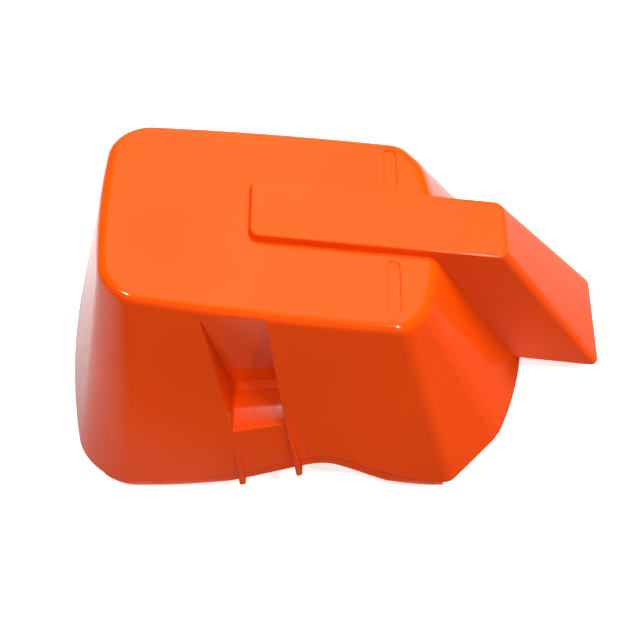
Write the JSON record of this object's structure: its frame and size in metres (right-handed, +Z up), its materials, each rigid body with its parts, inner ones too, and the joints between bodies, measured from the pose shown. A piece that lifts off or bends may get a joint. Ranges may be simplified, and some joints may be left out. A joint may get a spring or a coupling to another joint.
{
  "type": "air filter housing",
  "caption": "Moulded air filter cover with an intake hood over a base plate with filter stack, choke slide and latches.",
  "frame": {"origin": "middle of the housing's outer box, on the plane its base plate stands on", "axes": "+X from the closed end towards the intake hood, +Y towards the wall with the choke knob, +Z up out of the carburettor face"},
  "size_m": [0.1506, 0.1056, 0.0668],
  "materials": {
    "orange_plastic": "moulded nylon, semi-gloss with a fine grain",
    "black_plastic": "glass-filled nylon, fine matt grain",
    "gasket_fibre": "pressed fibre and rubber sheet",
    "rubber": "soft moulded rubber, matt",
    "aluminium": "turned, satin",
    "steel": "drawn bright steel",
    "spring_steel": "blued spring steel",
    "steel_screen": "punched sheet",
    "zinc": "yellow-passivated zinc plate",
    "foam": "open-cell foam, oiled"
  },
  "bodies": {
    "base": {"base_plate": "black_plastic", "carburettor_gasket": "gasket_fibre", "intake_horn": "aluminium", "base_screw_1": "zinc", "base_screw_2": "zinc", "base_screw_3": "zinc", "base_washer_1": "zinc", "base_washer_2": "zinc", "base_washer_3": "zinc", "breather_nozzle": "black_plastic", "drain_valve": "rubber", "filter_stud": "steel", "filter_seal": "rubber", "choke_leaf_spring": "spring_steel", "leaf_screw_1": "zinc", "leaf_screw_2": "zinc", "front_latch_pin": "steel", "rear_latch_pin": "steel", "front_latch_spring": "spring_steel", "rear_latch_spring": "spring_steel"},
    "cover": {"cover": "orange_plastic"},
    "filter": {"filter_frame": "black_plastic", "filter_screen": "steel_screen", "filter_element": "foam", "filter_top_plate": "black_plastic", "wing_nut_washer": "zinc"},
    "wing_nut": {"wing_nut": "zinc"},
    "choke": {"choke_slide": "steel", "choke_knob": "black_plastic"},
    "front_latch": {"front_latch_arm": "black_plastic"},
    "rear_latch": {"rear_latch_arm": "black_plastic"}
  },
  "joints": [
    {"name": "cover_lift", "type": "slide", "parent": "base", "child": "cover", "axis": [0, 0, 1], "range_m": [0, 0.08]},
    {"name": "filter_lift", "type": "slide", "parent": "base", "child": "filter", "axis": [0, 0, 1], "range_m": [0, 0.036]},
    {"name": "wing_nut_turn", "type": "hinge", "parent": "filter", "child": "wing_nut", "pos_m": [-0.0318, -0.00298, 0.04], "axis": [0, 0, 1], "range_deg": [0, 720]},
    {"name": "choke_pull", "type": "slide", "parent": "base", "child": "choke", "axis": [0, -1, 0], "range_m": [0, 0.0195]},
    {"name": "front_latch_swing", "type": "hinge", "parent": "base", "child": "front_latch", "pos_m": [-0.0228, -0.03788, 0.009], "axis": [1, 0, 0], "range_deg": [0, 20], "stiffness_Nm_per_rad": 0.01, "springref_deg": -5.73},
    {"name": "rear_latch_swing", "type": "hinge", "parent": "base", "child": "rear_latch", "pos_m": [-0.0228, 0.03192, 0.009], "axis": [-1, 0, 0], "range_deg": [0, 20], "stiffness_Nm_per_rad": 0.01, "springref_deg": -5.73}
  ],
  "couplings": [
    {"joint": "filter_lift", "follows": "cover_lift", "ratio": 0.45}
  ]
}
